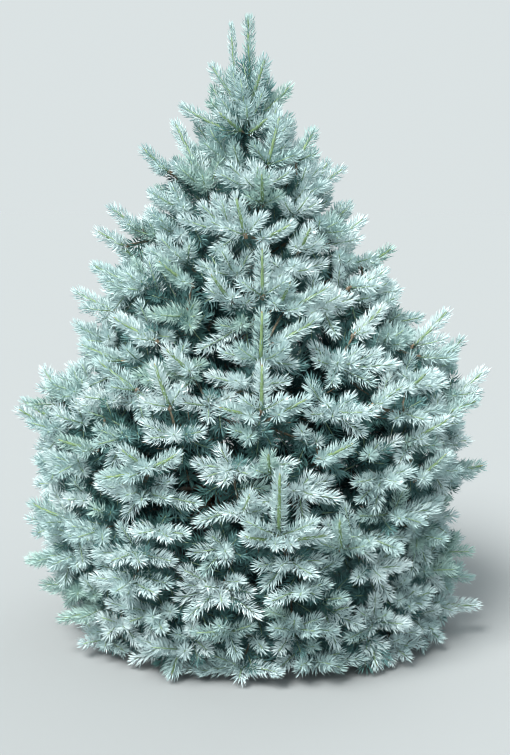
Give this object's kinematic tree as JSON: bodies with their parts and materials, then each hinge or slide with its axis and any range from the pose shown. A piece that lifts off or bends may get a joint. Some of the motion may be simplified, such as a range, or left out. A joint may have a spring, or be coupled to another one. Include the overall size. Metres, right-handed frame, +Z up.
{
  "type": "potted blue spruce",
  "caption": "Young broad blue spruce, full to the ground, with a single straight trunk and tiers of boughs, standing in a plain round tub hidden by its skirt.",
  "frame": {"origin": "middle of the tub's flat underside", "axes": "+Z up along the trunk, -Y towards the front of the plant as it is seen, +X to its right"},
  "size_m": [1.1566, 0.9908, 1.45],
  "materials": {
    "tub": "matte",
    "compost": "matte",
    "bark": "matte",
    "needles": "satin"
  },
  "bodies": {
    "root": {"tub": "tub", "compost": "compost", "trunk": "bark", "skirt_foliage_1": "needles", "skirt_bough_1": "bark", "skirt_foliage_2": "needles", "skirt_bough_2": "bark", "skirt_foliage_3": "needles", "skirt_bough_3": "bark", "skirt_foliage_4": "needles", "skirt_bough_4": "bark", "skirt_foliage_5": "needles", "skirt_bough_5": "bark", "lower_foliage_1": "needles", "lower_bough_1": "bark", "lower_foliage_2": "needles", "lower_bough_2": "bark", "lower_foliage_3": "needles", "lower_bough_3": "bark", "lower_foliage_4": "needles", "lower_bough_4": "bark", "lower_foliage_5": "needles", "lower_bough_5": "bark", "middle_foliage_1": "needles", "middle_bough_1": "bark", "middle_foliage_2": "needles", "middle_bough_2": "bark", "middle_foliage_3": "needles", "middle_bough_3": "bark", "middle_foliage_4": "needles", "middle_bough_4": "bark", "middle_foliage_5": "needles", "middle_bough_5": "bark", "shoulder_foliage_1": "needles", "shoulder_bough_1": "bark", "shoulder_foliage_2": "needles", "shoulder_bough_2": "bark", "shoulder_foliage_3": "needles", "shoulder_bough_3": "bark", "shoulder_foliage_4": "needles", "shoulder_bough_4": "bark", "upper_foliage_1": "needles", "upper_bough_1": "bark", "upper_foliage_2": "needles", "upper_bough_2": "bark", "upper_foliage_3": "needles", "upper_bough_3": "bark", "neck_foliage_1": "needles", "neck_bough_1": "bark", "neck_foliage_2": "needles", "neck_bough_2": "bark", "neck_foliage_3": "needles", "neck_bough_3": "bark", "top_foliage_1": "needles", "top_foliage_2": "needles", "top_foliage_3": "needles", "leader_needles": "needles", "second_leader_stem": "bark", "second_leader_needles": "needles"}
  },
  "joints": []
}
